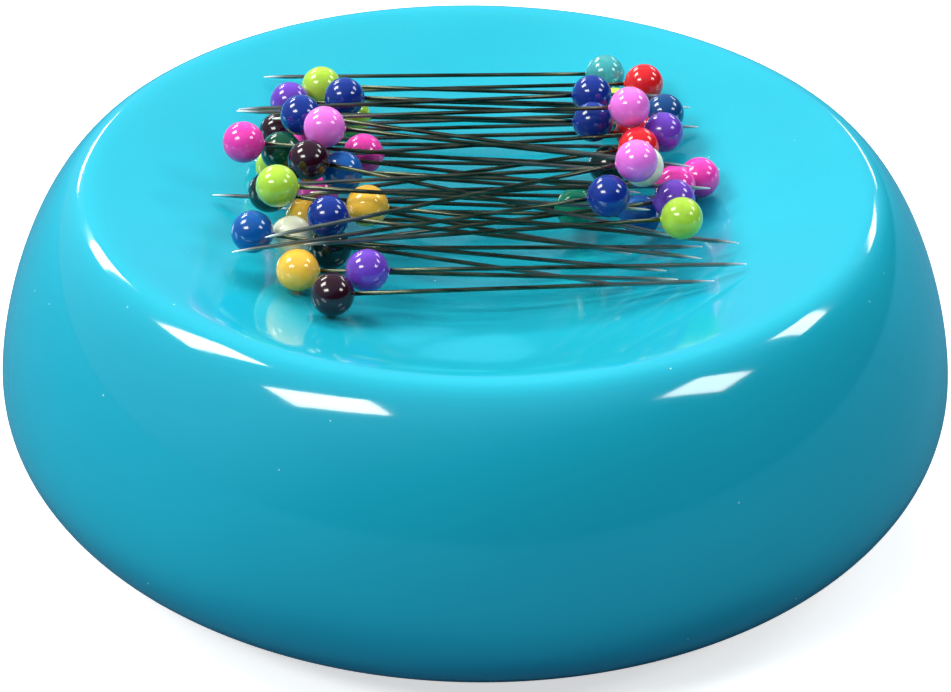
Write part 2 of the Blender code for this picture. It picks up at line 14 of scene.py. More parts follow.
import bpy
import numpy as np
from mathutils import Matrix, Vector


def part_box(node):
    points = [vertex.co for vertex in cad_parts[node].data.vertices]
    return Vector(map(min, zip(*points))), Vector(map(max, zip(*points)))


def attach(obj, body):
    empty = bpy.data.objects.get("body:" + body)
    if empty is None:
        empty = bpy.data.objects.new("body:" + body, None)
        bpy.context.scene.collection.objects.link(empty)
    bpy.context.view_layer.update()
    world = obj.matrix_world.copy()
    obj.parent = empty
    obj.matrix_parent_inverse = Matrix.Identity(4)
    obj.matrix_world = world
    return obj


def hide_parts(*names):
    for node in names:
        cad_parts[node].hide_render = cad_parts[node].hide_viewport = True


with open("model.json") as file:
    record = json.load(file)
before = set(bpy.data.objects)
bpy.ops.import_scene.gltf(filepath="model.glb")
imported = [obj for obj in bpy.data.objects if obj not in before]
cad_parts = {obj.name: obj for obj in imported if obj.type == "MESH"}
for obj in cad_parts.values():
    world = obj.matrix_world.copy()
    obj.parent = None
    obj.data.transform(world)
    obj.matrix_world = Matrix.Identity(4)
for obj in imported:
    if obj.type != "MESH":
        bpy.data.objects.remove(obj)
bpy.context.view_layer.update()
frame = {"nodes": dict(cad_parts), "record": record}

MM = 0.001
record = frame["record"]
body_of_node = {
    node: body for body, nodes in record["behaviour"]["bodies"].items() for node in nodes
}

# %% [markdown]
# ## The camera
#
# A product picture of a low, wide object is often taken from about 30 degrees up, so
# that both the top and the wall show. The lens is long, because a long lens keeps the
# round rim from looking stretched. The camera could be aimed with a constraint, but a
# plain position and a plain turn are easier to repeat.

# %% Camera
CAMERA_DISTANCE = 320 * MM
CAMERA_ELEVATION = math.radians(32.0)
CAMERA_AIM_HEIGHT = 14.2 * MM
CAMERA_ROLL = math.radians(0.81)
LENS = 104.86
FRAME_LIFT = 0.0063

camera = bpy.data.objects.new("camera", bpy.data.cameras.new("camera"))
camera.data.lens = LENS
camera.data.shift_y = FRAME_LIFT
camera.data.clip_start = 10 * MM
camera.data.clip_end = 20.0
camera.location = (
    0.0,
    -CAMERA_DISTANCE * math.cos(CAMERA_ELEVATION),
    CAMERA_AIM_HEIGHT + CAMERA_DISTANCE * math.sin(CAMERA_ELEVATION),
)
camera.rotation_mode = "ZXY"
camera.rotation_euler = (math.pi / 2 - CAMERA_ELEVATION, 0.0, CAMERA_ROLL)
bpy.context.scene.collection.objects.link(camera)
bpy.context.scene.camera = camera
print("camera at, mm:", [round(c / MM, 1) for c in camera.location])

# %% [markdown]
# ## Turning a grid of points into a mesh
#
# Most parts here are turned: a profile of (radius, height) points goes round an axis.
# Blender's Screw modifier could do this, but a grid of points worked out at once with
# numpy also allows shapes that aren't quite round. One helper sews a grid of rings
# into a closed skin, with a single point at each end.

# %% Skin helpers


def sewn_skin(name, rings, finish):
    """A closed mesh object from rings of points, an array of shape (rings, around, 3).

    Point j of ring i joins point j + 1 of its ring and point j of ring i + 1. Each end
    closes with a fan of triangles to the mean of the end ring. The signed volume, the
    sum of a . (b x c) / 6 over the triangles, tells whether the faces point outwards.
    """
    count, around = rings.shape[:2]
    here = np.arange(around)
    following = np.roll(here, -1)
    first = np.arange(count - 1)[:, None] * around
    quads = np.stack(
        [first + here, first + following, first + around + following, first + around + here],
        axis=-1,
    ).reshape(-1, 4)
    bottom, top = count * around, count * around + 1
    last = (count - 1) * around
    fans = np.concatenate(
        [
            np.stack([np.full(around, bottom), following, here], axis=-1),
            np.stack([np.full(around, top), last + here, last + following], axis=-1),
        ]
    )
    points = np.concatenate([rings.reshape(-1, 3), [rings[0].mean(0), rings[-1].mean(0)]])
    triangles = np.concatenate([quads[:, [0, 1, 2]], quads[:, [0, 2, 3]], fans])
    a, b, c = (points[triangles[:, k]] for k in range(3))
    if (a * np.cross(b, c)).sum() < 0:
        quads, fans = quads[:, ::-1], fans[:, ::-1]
    mesh = bpy.data.meshes.new(name)
    mesh.from_pydata(points.tolist(), [], quads.tolist() + fans.tolist())
    mesh.polygons.foreach_set("use_smooth", np.ones(len(mesh.polygons), bool))
    mesh.materials.append(finish)
    mesh.update()
    piece = bpy.data.objects.new(name, mesh)
    bpy.context.scene.collection.objects.link(piece)
    return piece


def turned(profile, around):
    """Rings of a turned shape: each (radius, height) goes round the upright axis.

    x = radius * cos(angle), y = radius * sin(angle), z = height.
    """
    angle = np.linspace(0.0, 2 * math.pi, around, endpoint=False)
    radius, height = profile[:, 0, None], profile[:, 1, None]
    flat = np.ones_like(angle)
    return np.stack([radius * np.cos(angle), radius * np.sin(angle), height * flat], axis=-1)


def evenly_spaced(profile, step):
    """The same line with its points a fixed step apart, measured along the line."""
    length = np.hypot(*np.diff(profile, axis=0).T)
    along = np.concatenate([[0.0], np.cumsum(length)])
    places = np.linspace(0.0, along[-1], int(along[-1] / step) + 2)
    return np.stack([np.interp(places, along, profile[:, k]) for k in (0, 1)], axis=-1)


def eased(profile, step, width):
    """The line averaged with a bell curve, so that bends become soft; its ends stay put.

    Each point becomes the mean of its neighbours, weighted by exp(-(d / width)^2 / 2)
    at a distance d. Past its ends the line goes on as its own point reflection.
    """
    reach = int(3 * width / step)
    weight = np.exp(-0.5 * (np.arange(-reach, reach + 1) * step / width) ** 2)
    weight /= weight.sum()
    longer = np.pad(profile, ((reach, reach), (0, 0)), mode="reflect", reflect_type="odd")
    return np.stack([np.convolve(longer[:, k], weight, "valid") for k in (0, 1)], axis=-1)


print("skin helpers ready")

# %% [markdown]
# ## Building a finish from nodes
#
# Moulded plastic looks like one even colour from far away. Close up it has faint
# flow marks, dust, fine scratches and a surface that isn't quite flat. Image textures
# could show these, but noise nodes on Object coordinates work at any distance and fit
# every piece without unwrapping it.

# %% Finish helpers


class Finish:
    """A material with its Principled shader and short ways to add nodes."""

    def __init__(self, name):
        """Start a node material and keep its shader at hand."""
        self.material = bpy.data.materials.new(name)
        self.material.use_nodes = True
        self.tree = self.material.node_tree
        self.shader = self.tree.nodes["Principled BSDF"]
        self.place = self.add("ShaderNodeTexCoord").outputs["Object"]

    def add(self, kind, **settings):
        """Add a node, set its properties and its inputs by name."""
        node = self.tree.nodes.new(kind)
        for key, value in settings.items():
            if hasattr(node, key):
                setattr(node, key, value)
            else:
                node.inputs[key.replace("_", " ")].default_value = value
        return node

    def join(self, source, target):
        """Link an output socket to an input socket."""
        self.tree.links.new(source, target)

    def noise(self, size, detail=2.0, stretch=(1.0, 1.0, 1.0)):
        """A noise of features about this size, in metres, stretched along the axes."""
        spread = self.add("ShaderNodeMapping")
        spread.inputs["Scale"].default_value = stretch
        self.join(self.place, spread.inputs["Vector"])
        node = self.add("ShaderNodeTexNoise", Scale=1.0 / size, Detail=detail)
        self.join(spread.outputs["Vector"], node.inputs["Vector"])
        return node.outputs["Fac"]

    def ramp(self, value, stops):
        """Turn a value between 0 and 1 into colours or greys at the given stops."""
        node = self.add("ShaderNodeValToRGB")
        elements = node.color_ramp.elements
        while len(elements) < len(stops):
            elements.new(0.5)
        for element, (position, tone) in zip(elements, stops):
            element.position = position
            element.color = (*tone, 1.0) if isinstance(tone, tuple) else (tone,) * 3 + (1.0,)
        self.join(value, node.inputs["Fac"])
        return node.outputs["Color"]

    def mixed(self, amount, first, second):
        """Mix two colours, each a socket or three numbers, by an amount socket."""
        node = self.add("ShaderNodeMix", data_type="RGBA")
        self.join(amount, node.inputs[0])
        for socket, colour in ((node.inputs[6], first), (node.inputs[7], second)):
            if isinstance(colour, tuple):
                socket.default_value = (*colour, 1.0)
            else:
                self.join(colour, socket)
        return node.outputs[2]

    def bumps(self, *layers):
        """Chain bump nodes for (height socket, depth in metres) layers."""
        normal = None
        for height, depth in layers:
            node = self.add("ShaderNodeBump", Strength=1.0, Distance=depth)
            self.join(height, node.inputs["Height"])
            if normal is not None:
                self.join(normal, node.inputs["Normal"])
            normal = node.outputs["Normal"]
        self.join(normal, self.shader.inputs["Normal"])

    def set(self, **values):
        """Set constant inputs of the shader, such as Coat_Weight=0.5."""
        for key, value in values.items():
            self.shader.inputs[key.replace("_", " ")].default_value = value


print("finish helpers ready")

# %% [markdown]
# ## The dish's plastic
#
# The dish is moulded in a hard, glossy plastic coloured all the way through. The
# colour wanders by a few percent where the melt flowed. A few specks of pale dust lie
# on it, and the gloss is broken by faint wiping marks. A very shallow waviness, like
# the skin of an orange, makes the edges of reflections swim a little.

# %% Dish finish
DISH_TONES = ((0.010, 0.365, 0.495), (0.012, 0.395, 0.53))
DUST_TONE = (0.62, 0.86, 0.90)


def dust_specks(finish, cell, share, size):
    """Round specks: 1 inside a speck and 0 outside, in a share of all cells.

    Space is cut into cells of a given width. The colour of a cell decides whether it
    holds a speck, and the distance to the cell's middle gives the speck its outline.
    """
    cells = finish.add("ShaderNodeTexVoronoi", Scale=1.0 / cell)
    finish.join(finish.place, cells.inputs["Vector"])
    near = finish.add("ShaderNodeMath", operation="LESS_THAN")
    near.inputs[1].default_value = size / cell
    finish.join(cells.outputs["Distance"], near.inputs[0])
    split = finish.add("ShaderNodeSeparateColor")
    finish.join(cells.outputs["Color"], split.inputs[0])
    chosen = finish.add("ShaderNodeMath", operation="LESS_THAN")
    chosen.inputs[1].default_value = share
    finish.join(split.outputs[0], chosen.inputs[0])
    both = finish.add("ShaderNodeMath", operation="MULTIPLY")
    finish.join(near.outputs[0], both.inputs[0])
    finish.join(chosen.outputs[0], both.inputs[1])
    return both.outputs[0]


dish_plastic = Finish("dish_plastic")
flow = dish_plastic.noise(28 * MM, detail=3.0)
specks = dust_specks(dish_plastic, cell=2.4 * MM, share=0.16, size=0.09 * MM)
flow_tone = dish_plastic.ramp(flow, [(0.3, DISH_TONES[0]), (0.7, DISH_TONES[1])])
dish_plastic.join(
    dish_plastic.mixed(specks, flow_tone, DUST_TONE), dish_plastic.shader.inputs["Base Color"]
)
wiping = dish_plastic.noise(9 * MM, detail=6.0, stretch=(1.0, 3.0, 1.0))
dullness = dish_plastic.ramp(wiping, [(0.3, 0.065), (0.75, 0.115)])
dish_plastic.join(dullness, dish_plastic.shader.inputs["Roughness"])
dish_plastic.bumps(
    (dish_plastic.noise(7 * MM, detail=1.0), 0.02 * MM),
    (dish_plastic.noise(0.5 * MM, detail=2.0), 0.0006 * MM),
)
dish_plastic.set(IOR=1.47, Coat_Weight=0.45, Coat_Roughness=0.05, Coat_IOR=1.45)
print("dish finish has", len(dish_plastic.tree.nodes), "nodes")

# %% [markdown]
# ## The dish
#
# The dish is one moulding. Its hollow top rises ever faster to a soft crest, rolls
# over into a bulging wall, and tucks in under itself. A quarter superellipse, which is
# a rounded corner between a circle and a square, gives the shoulder and the tuck. The
# line is then averaged so that light glides over the crest. The inner face is the
# same line moved inwards by the wall's thickness.

# %% Dish shape
low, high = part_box("dish_shell")
DISH_RADIUS = (high.x - low.x) / 2
DISH_TOP, DISH_EDGE_HEIGHT = high.z, low.z
RIM_WIDTH, TUCK_WIDTH = 10.6 * MM, 17.0 * MM
CREST_RADIUS = DISH_RADIUS - RIM_WIDTH
EDGE_RADIUS = DISH_RADIUS - TUCK_WIDTH
WIDEST_HEIGHT = 14.8 * MM
BOWL_DEPTH = 9.5 * MM
WALL = 2.2 * MM
BOWL_POWER, SHOULDER_POWER, TUCK_POWER = 1.2, 1.56, 2.08
PROFILE_STEP = 0.35 * MM
FINE_STEP = PROFILE_STEP / 4
CREST_EASE = 1.1 * MM
DISH_AROUND = 288


def dish_outside():
    """The dish's outer line from the middle of the bowl to the lower edge.

    Bowl: height = top - depth * (1 - (r / crest)^2)^1.2. Shoulder and tuck: a quarter
    turn t of a superellipse, out by sin(t)^(2/n) and down by 1 - cos(t)^(2/n).
    """
    share = np.linspace(0.0, 1.0, 400)
    quarter = share * math.pi / 2
    out, down = np.sin(quarter), np.cos(quarter)
    bowl = [CREST_RADIUS * share, DISH_TOP - BOWL_DEPTH * (1 - share**2) ** BOWL_POWER]
    shoulder = [
        CREST_RADIUS + (DISH_RADIUS - CREST_RADIUS) * out ** (2 / SHOULDER_POWER),
        WIDEST_HEIGHT + (DISH_TOP - WIDEST_HEIGHT) * down ** (2 / SHOULDER_POWER),
    ]
    tuck = [
        EDGE_RADIUS + (DISH_RADIUS - EDGE_RADIUS) * down ** (2 / TUCK_POWER),
        WIDEST_HEIGHT - (WIDEST_HEIGHT - DISH_EDGE_HEIGHT) * out ** (2 / TUCK_POWER),
    ]
    line = np.concatenate([np.stack(part, axis=-1) for part in (bowl, shoulder, tuck)])
    fine = evenly_spaced(line, FINE_STEP)
    return evenly_spaced(eased(fine, FINE_STEP, CREST_EASE), PROFILE_STEP)


outside = dish_outside()
heading = np.gradient(outside, axis=0)
heading /= np.hypot(*heading.T)[:, None]
inward = np.stack([heading[:, 1], -heading[:, 0]], axis=-1)
inside = outside + WALL * inward
half_turn = np.linspace(0.0, math.pi, 9)[1:-1, None]
lip = (
    (outside[-1] + inside[-1]) / 2
    - WALL / 2 * np.cos(half_turn) * inward[-1]
    + WALL / 2 * 0.4 * np.sin(half_turn) * heading[-1]
)
inside = np.maximum(inside, [0.0, -1.0])
dish_line = np.concatenate([outside[1:], lip, inside[:0:-1]])
dish = sewn_skin("dish", turned(dish_line, DISH_AROUND), dish_plastic.material)
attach(dish, "dish")
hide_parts("dish_shell")
print("dish:", len(dish_line), "rings,", round(2 * outside[:, 0].max() / MM, 2), "mm across")

# %% [markdown]
# ## Where each pin lies
#
# Every pin in the CAD model is a ball on a wire, somewhere in the heap. Its own mesh
# tells where: the two points that are farthest apart are the ball's pole and the
# wire's point, and the end with more points around it is the ball.

# %% Pin places
BALL_RADIUS = 2.3 * MM
WIRE_RADIUS = 0.235 * MM


def pin_axis(node):
    """The ball's centre, the wire's far end, and the unit vector between them.

    The far ends are found by going to the farthest point from any point, and then to
    the farthest point from that one.
    """
    mesh = node.data
    points = np.empty(len(mesh.vertices) * 3, np.float32)
    mesh.vertices.foreach_get("co", points)
    points = points.reshape(-1, 3).astype(float)
    first = points[np.argmax(np.linalg.norm(points - points[0], axis=1))]
    second = points[np.argmax(np.linalg.norm(points - first, axis=1))]
    near_first, near_second = (
        (np.linalg.norm(points - end, axis=1) < 3 * BALL_RADIUS).sum() for end in (first, second)
    )
    pole, point = (first, second) if near_first > near_second else (second, first)
    point = points[np.linalg.norm(points - point, axis=1) < 0.2 * MM].mean(0)
    along = (point - pole) / np.linalg.norm(point - pole)
    return pole + BALL_RADIUS * along, point, along


pin_nodes = sorted(name for name in frame["nodes"] if name.startswith("pin_"))
pin_places = {name: pin_axis(frame["nodes"][name]) for name in pin_nodes}
print(len(pin_places), "pins; highest ball centre at",
      round(max(place[0][2] for place in pin_places.values()) / MM, 1), "mm")

# %% [markdown]
# ## The balls' finishes
#
# The heads are small plastic balls, moulded on the wire in about a dozen colours and
# polished by tumbling. Their colour is even, with a slight cloudiness. Two of the
# colours are translucent. One function makes all of the finishes from a list of tones,
# so that the balls differ only in colour, as balls from one maker do.

# %% Ball finishes
BALL_TONES = {
    "lime": (0.42, 0.66, 0.05),
    "dark_blue": (0.006, 0.028, 0.25),
    "mid_blue": (0.004, 0.088, 0.35),
    "navy": (0.006, 0.06, 0.21),
    "purple": (0.145, 0.045, 0.47),
    "maroon": (0.022, 0.002, 0.008),
    "magenta": (0.87, 0.05, 0.42),
    "pink": (0.92, 0.18, 0.74),
    "dark_green": (0.002, 0.07, 0.03),
    "black_green": (0.003, 0.014, 0.012),
    "yellow": (1.0, 0.53, 0.055),
    "red": (0.76, 0.013, 0.018),
    "cream": (1.0, 0.96, 0.70),
    "teal": (0.10, 0.58, 0.60),
    "clear_green": (0.005, 0.38, 0.21),
}
CLEAR_BALLS = ("teal", "clear_green")


def ball_finish(colour):
    """A polished plastic with faint clouds: the tone times 0.86 to 1.08 by noise."""
    finish = Finish("head_" + colour)
    tone = BALL_TONES[colour]
    darker, lighter = (tuple(min(c * k, 1.0) for c in tone) for k in (0.86, 1.08))
    clouds = finish.noise(1.6 * MM, detail=2.0)
    cloudy = finish.ramp(clouds, [(0.3, darker), (0.7, lighter)])
    finish.join(cloudy, finish.shader.inputs["Base Color"])
    rub = finish.noise(0.5 * MM, detail=4.0)
    finish.join(finish.ramp(rub, [(0.35, 0.10), (0.8, 0.19)]), finish.shader.inputs["Roughness"])
    finish.bumps((finish.noise(1.1 * MM, detail=1.0), 0.008 * MM))
    finish.set(IOR=1.49, Coat_Weight=0.25, Coat_Roughness=0.03)
    if colour in CLEAR_BALLS:
        finish.set(Transmission_Weight=0.45)
    return finish.material


ball_finishes = {colour: ball_finish(colour) for colour in BALL_TONES}
print("ball finishes:", ", ".join(ball_finishes))

# %% [markdown]
# ## The wires' finish
#
# The wires are hardened steel. Their metal colour is a painted reflection: two tones far
# darker than bare steel, tinted olive, stand in for the dim room and the turquoise dish
# that a polished wire mirrors. Noise stretched along the wire gives the drawn streaks.
# The ground points are bright, and as they are neither painted nor another part, the
# mesh itself says where they are: a value stored at each of its points, made with the
# shape in the next step.

# %% Wire finish
# Painted reflection: the first two tones are dark, olive-tinted metal colours that stand in for
# what a polished wire mirrors.
WIRE_PAINTED_REFLECTION_DARK, WIRE_PAINTED_REFLECTION_LIGHT, WIRE_POINT = (0.045, 0.056, 0.036), (0.15, 0.16, 0.105), (0.95, 0.95, 0.95)
POINT_DULLNESS = (0.45, 0.45, 0.45)
wire_steel = Finish("wire_steel")
streaks = wire_steel.noise(0.35 * MM, detail=4.0, stretch=(0.06, 1.0, 1.0))
painted_reflection = wire_steel.ramp(streaks, [(0.35, WIRE_PAINTED_REFLECTION_DARK), (0.75, WIRE_PAINTED_REFLECTION_LIGHT)])
brightness = wire_steel.add("ShaderNodeAttribute", attribute_name="ground")
wire_steel.join(
    wire_steel.mixed(brightness.outputs["Fac"], painted_reflection, WIRE_POINT),
    wire_steel.shader.inputs["Base Color"],
)
drawn = wire_steel.ramp(streaks, [(0.3, 0.22), (0.7, 0.38)])
wire_steel.join(
    wire_steel.mixed(brightness.outputs["Fac"], drawn, POINT_DULLNESS),
    wire_steel.shader.inputs["Roughness"],
)
wire_steel.bumps((streaks, 0.006 * MM))
wire_steel.set(Metallic=1.0)
print("wire finish has", len(wire_steel.tree.nodes), "nodes")

# %% [markdown]
# ## The pins
#
# Each pin is two pieces, as on the real thing: a wire with a long ground point, and a
# ball moulded over its blunt end. The ball isn't a perfect sphere. The mould leaves a
# short collar where the wire goes in and a tiny flat at the far pole. Both pieces are
# turned profiles, and a turn of the axes lays them along the pin's direction.

# %% Pin shapes
BALL_AROUND, WIRE_AROUND = 40, 14
COLLAR_REACH = 0.12 * MM
COLLAR_RADIUS = 0.34 * MM
GRIND_REACH = 2.5 * MM


def laid_along(rings, origin, along):
    """Move rings whose axis is +Z to an origin, with +Z turned to a direction.

    side = along x up, and other = along x side, make a right-angled set of axes.
    """
    side = np.cross(along, [0.0, 0.0, 1.0])
    side /= np.linalg.norm(side)
    other = np.cross(along, side)
    return origin + rings[..., :1] * side + rings[..., 1:2] * other + rings[..., 2:] * along


def ball_rings():
    """A ball about the origin with its collar towards +Z.

    A half turn t gives radius R * sin(t) and height -R * cos(t). Near the far pole the
    height is cut to a flat, and near the wire the radius is held at the collar's, which
    narrows to the wire over the collar's reach.
    """
    half = np.linspace(0.06, math.pi - 0.148, 26)
    radius = BALL_RADIUS * np.sin(half)
    height = np.maximum(-BALL_RADIUS * np.cos(half), -BALL_RADIUS * 0.992)
    ball = np.stack([radius, height], axis=-1)
    share = np.linspace(0.15, 1.0, 6)
    start = ball[-1]
    collar = np.stack(
        [
            COLLAR_RADIUS - (COLLAR_RADIUS - WIRE_RADIUS) * share**2,
            start[1] + COLLAR_REACH * share,
        ],
        axis=-1,
    )
    return turned(np.concatenate([ball, collar]), BALL_AROUND)


def wire_rings(reach):
    """A wire from the ball's centre to its point, along +Z.

    The radius is constant, then falls as the square root of the distance left, which
    gives a slender point with a small round end.
    """
    left = np.concatenate([[reach, reach * 0.7, reach * 0.4], np.linspace(GRIND_REACH, 0.0, 14)])
    taper = np.sqrt(np.clip(left / GRIND_REACH, 0.0, 1.0) * 0.9 + 0.1 * (left > GRIND_REACH))
    radius = WIRE_RADIUS * np.where(left >= GRIND_REACH, 1.0, taper * 0.85 + 0.15)
    radius[-1] = 0.05 * MM
    return turned(np.stack([radius, reach - left], axis=-1), WIRE_AROUND)


def mark_ground_point(piece, point):
    """Store how bright the grinding leaves each point of the mesh.

    brightness = 1.25 - distance to the tip / grind reach, held between 0 and 1.
    """
    mesh = piece.data
    spots = np.empty(len(mesh.vertices) * 3, np.float32)
    mesh.vertices.foreach_get("co", spots)
    away = np.linalg.norm(spots.reshape(-1, 3) - point, axis=1)
    ground = np.clip(1.25 - away / GRIND_REACH, 0.0, 1.0).astype(np.float32)
    mesh.attributes.new("ground", "FLOAT", "POINT").data.foreach_set("value", ground)


for node_name, (centre, point, along) in pin_places.items():
    label = node_name.removeprefix("pin_")
    colour = label.rsplit("_", 1)[0]
    body = body_of_node[node_name]
    ball_shape = laid_along(ball_rings(), centre, along)
    wire_shape = laid_along(wire_rings(np.linalg.norm(point - centre)), centre, along)
    ball = sewn_skin("ball_" + label, ball_shape, ball_finishes[colour])
    wire = sewn_skin("wire_" + label, wire_shape, wire_steel.material)
    mark_ground_point(wire, point)
    for piece, slot in ((ball, "head_" + colour), (wire, "bright_steel")):
        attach(piece, body)
        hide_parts(node_name)
print("pins made:", len(pin_places))

# %% [markdown]
# ## Finishes for the parts underneath
#
# The black base has a fine sparked texture from its mould, the rubber feet have a dull
# bloom, the screws are plated, the magnet is grainy ferrite and its end plates are
# sheared steel. The magnet, the plates and the cradle are shut in for good, so they
# keep the shapes of the CAD model and only take a finish.

# %% Finishes for the parts underneath


def grained(name, tones, grain, depth, roughness, metallic=0.0):
    """A finish with a fine grain: noise mixes two tones and lifts the surface."""
    finish = Finish(name)
    speckle = finish.noise(grain, detail=4.0)
    tone = finish.ramp(speckle, [(0.35, tones[0]), (0.65, tones[1])])
    finish.join(tone, finish.shader.inputs["Base Color"])
    dullness = finish.ramp(speckle, [(0.3, roughness[0]), (0.7, roughness[1])])
    finish.join(dullness, finish.shader.inputs["Roughness"])
    finish.bumps((speckle, depth))
    finish.set(Metallic=metallic)
    return finish.material


BLACK = ((0.012, 0.012, 0.013), (0.022, 0.022, 0.024))
RUBBER = ((0.018, 0.018, 0.018), (0.035, 0.034, 0.033))
PLATED = ((0.42, 0.43, 0.45), (0.58, 0.59, 0.60))
FERRITE = ((0.03, 0.03, 0.033), (0.07, 0.07, 0.075))
SHEARED = ((0.32, 0.32, 0.33), (0.50, 0.50, 0.51))
base_plastic = grained("base_plastic", BLACK, 0.25 * MM, 0.02 * MM, (0.45, 0.6))
foot_rubber = grained("foot_rubber", RUBBER, 0.6 * MM, 0.02 * MM, (0.8, 0.95))
plated_screws = grained("plated_screws", PLATED, 0.4 * MM, 0.004 * MM, (0.22, 0.34), 1.0)
ferrite = grained("ferrite", FERRITE, 0.3 * MM, 0.03 * MM, (0.6, 0.85))
pole_steel = grained("pole_steel", SHEARED, 0.8 * MM, 0.01 * MM, (0.3, 0.5), 1.0)

INNER_FINISHES = {
    "magnet_cradle": base_plastic,
    "magnet_block": ferrite,
    "pole_plate_left": pole_steel,
    "pole_plate_right": pole_steel,
}
for name, finish in INNER_FINISHES.items():
    for material_slot in frame["nodes"][name].material_slots:
        material_slot.material = finish
print("finished inside:", ", ".join(INNER_FINISHES))

# %% [markdown]
# ## Working like a machinist
#
# The base, the pads and the screws are round parts with pockets and crosses in them. A
# height for each place could not give a pocket its upright walls. So these parts are
# turned first, and then turned plugs are added to them or taken away, as on a lathe
# and a drill press. Edges sharper than 35 degrees stay crisp.

# %% Machining helpers
FIT_GAP = 0.3 * MM
ON_AXIS = 0.01 * MM
PLUG_AROUND = 48
HARD_EDGE = math.radians(35)


def rounded(corner, radius, before, after, count=6):
    """Points of a round corner between two sides of a profile.

    before and after are the unit directions of the line into and out of the corner. At
    a turn t, point = corner - r * before * (1 - sin t) + r * after * (1 - cos t).
    """
    turn = np.linspace(0.0, math.pi / 2, count)[:, None]
    before, after = np.array(before), np.array(after)
    return corner - radius * before * (1 - np.sin(turn)) + radius * after * (1 - np.cos(turn))


def plug(name, radius, low, high, place):
    """An upright cylinder of base plastic between two heights, over a place (x, y)."""
    line = np.array([(ON_AXIS, low), (radius, low), (radius, high), (ON_AXIS, high)])
    return sewn_skin(name, turned(line, PLUG_AROUND) + [*place, 0.0], base_plastic)


def machined(piece, steps):
    """Add or take away other objects one by one, keep the result, drop the others."""
    for operation, other in steps:
        step = piece.modifiers.new(other.name, "BOOLEAN")
        step.operation, step.object, step.solver = operation, other, "EXACT"
    seen = piece.evaluated_get(bpy.context.evaluated_depsgraph_get())
    piece.data = bpy.data.meshes.new_from_object(seen)
    piece.modifiers.clear()
    for operation, other in steps:
        bpy.data.objects.remove(other)
    piece.data.set_sharp_from_angle(angle=HARD_EDGE)


def middle(node):
    """The middle of a node's box, seen from above."""
    low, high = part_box(node)
    return (low.x + high.x) / 2, (low.y + high.y) / 2


def half_width(node):
    """Half the width of a node's box."""
    low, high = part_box(node)
    return (high.x - low.x) / 2


screws = [name for name in frame["nodes"] if "_screw_" in name]
base_screws = [name for name in screws if name.startswith("base")]
feet = [name for name in frame["nodes"] if name.startswith("foot_")]
print("screws:", len(screws), "feet:", len(feet))

# %% [markdown]
# ## The base
#
# The base is one black moulding: a round plate with a lip under the dish's edge, a
# boss over each screw, and pockets for the screw heads and for the rubber pads. Each
# boss is added before its pocket and its hole are taken away, so that the pocket's
# floor has the same thickness as the plate.

# %% Base
BASE_AROUND = 192
BASE_LIP, BASE_PLATE = 1.95 * MM, 1.6 * MM
BASE_ROUND = 0.3 * MM
SHANK_RADIUS, HEAD_HEIGHT = 1.3 * MM, 1.7 * MM

low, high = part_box("base_cover")
inner_edge = high.x - BASE_LIP
lip_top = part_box("dish_shell")[0].z - FIT_GAP
plate_top = low.z + BASE_PLATE
head_radius = half_width("base_screw_1")
recess_radius = head_radius + FIT_GAP
recess_top = low.z + HEAD_HEIGHT + FIT_GAP
boss_top = recess_top + FIT_GAP + BASE_PLATE
base_line = np.concatenate(
    [
        [(ON_AXIS, low.z)],
        rounded(np.array([high.x, low.z]), BASE_ROUND, (1, 0), (0, 1)),
        [(high.x, lip_top), (inner_edge, lip_top)],
        rounded(np.array([inner_edge, plate_top]), BASE_ROUND, (0, 1), (-1, 0)),
        [(ON_AXIS, plate_top)],
    ]
)
base = sewn_skin("base", turned(base_line, BASE_AROUND), base_plastic)
steps = []
for name in base_screws:
    place = middle(name)
    boss = plug("boss_" + name, recess_radius + BASE_PLATE, lip_top, boss_top, place)
    pocket = plug("pocket_" + name, recess_radius, -low.z, recess_top, place)
    hole = plug("hole_" + name, SHANK_RADIUS + FIT_GAP, low.z, boss_top + BASE_PLATE, place)
    steps += [("UNION", boss), ("DIFFERENCE", pocket), ("DIFFERENCE", hole)]
for name in feet:
    pocket_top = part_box(name)[1].z + FIT_GAP
    pocket = plug(
        "pocket_" + name, half_width(name) + FIT_GAP, -low.z, pocket_top, middle(name)
    )
    steps.append(("DIFFERENCE", pocket))
machined(base, steps)
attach(base, "dish")
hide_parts("base_cover")
print("base:", len(base.data.polygons), "faces after", len(steps), "steps")

# %% [markdown]
# ## The feet
#
# Each foot is a round rubber pad with an eased edge and a shallow ring pressed into
# its lower face, which lets it grip a table.

# %% Feet
PAD_ROUND = 0.35 * MM
RING_DEPTH = 0.12 * MM
RING_SHARES = (0.55, 0.58, 0.66, 0.69)

for name in feet:
    foot_low, foot_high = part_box(name)
    radius = half_width(name)
    ring = np.array(RING_SHARES) * radius
    floor_of_ring = [foot_low.z, RING_DEPTH, RING_DEPTH, foot_low.z]
    pad_line = np.concatenate(
        [
            [(ON_AXIS, foot_low.z)],
            np.stack([ring, floor_of_ring], axis=-1),
            rounded(np.array([radius, foot_low.z]), PAD_ROUND, (1, 0), (0, 1)),
            [(radius, foot_high.z), (ON_AXIS, foot_high.z)],
        ]
    )
    pad_shape = turned(pad_line, PLUG_AROUND) + [*middle(name), 0.0]
    pad = sewn_skin("pad_" + name, pad_shape, foot_rubber)
    pad.data.set_sharp_from_angle(angle=HARD_EDGE)
    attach(pad, "dish")
    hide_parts(name)
print("pads made:", len(feet))

# %% [markdown]
# ## The screws
#
# The five screws are alike: a pan head with a cross in it and a threaded shank. The
# thread is a zigzag in the turned profile. A true spiral could be made too, but once
# the screws are in, only their heads show.

# %% Screws
THREAD_DEPTH, THREAD_PITCH = 0.22 * MM, 1.0 * MM
THREAD_START, THREAD_END = 0.6 * MM, 1.2 * MM
HEAD_ROUND = 0.6 * MM
CROSS_REACH, CROSS_HALF_WIDTH, CROSS_DEPTH = 1.55 * MM, 0.28 * MM, 1.0 * MM

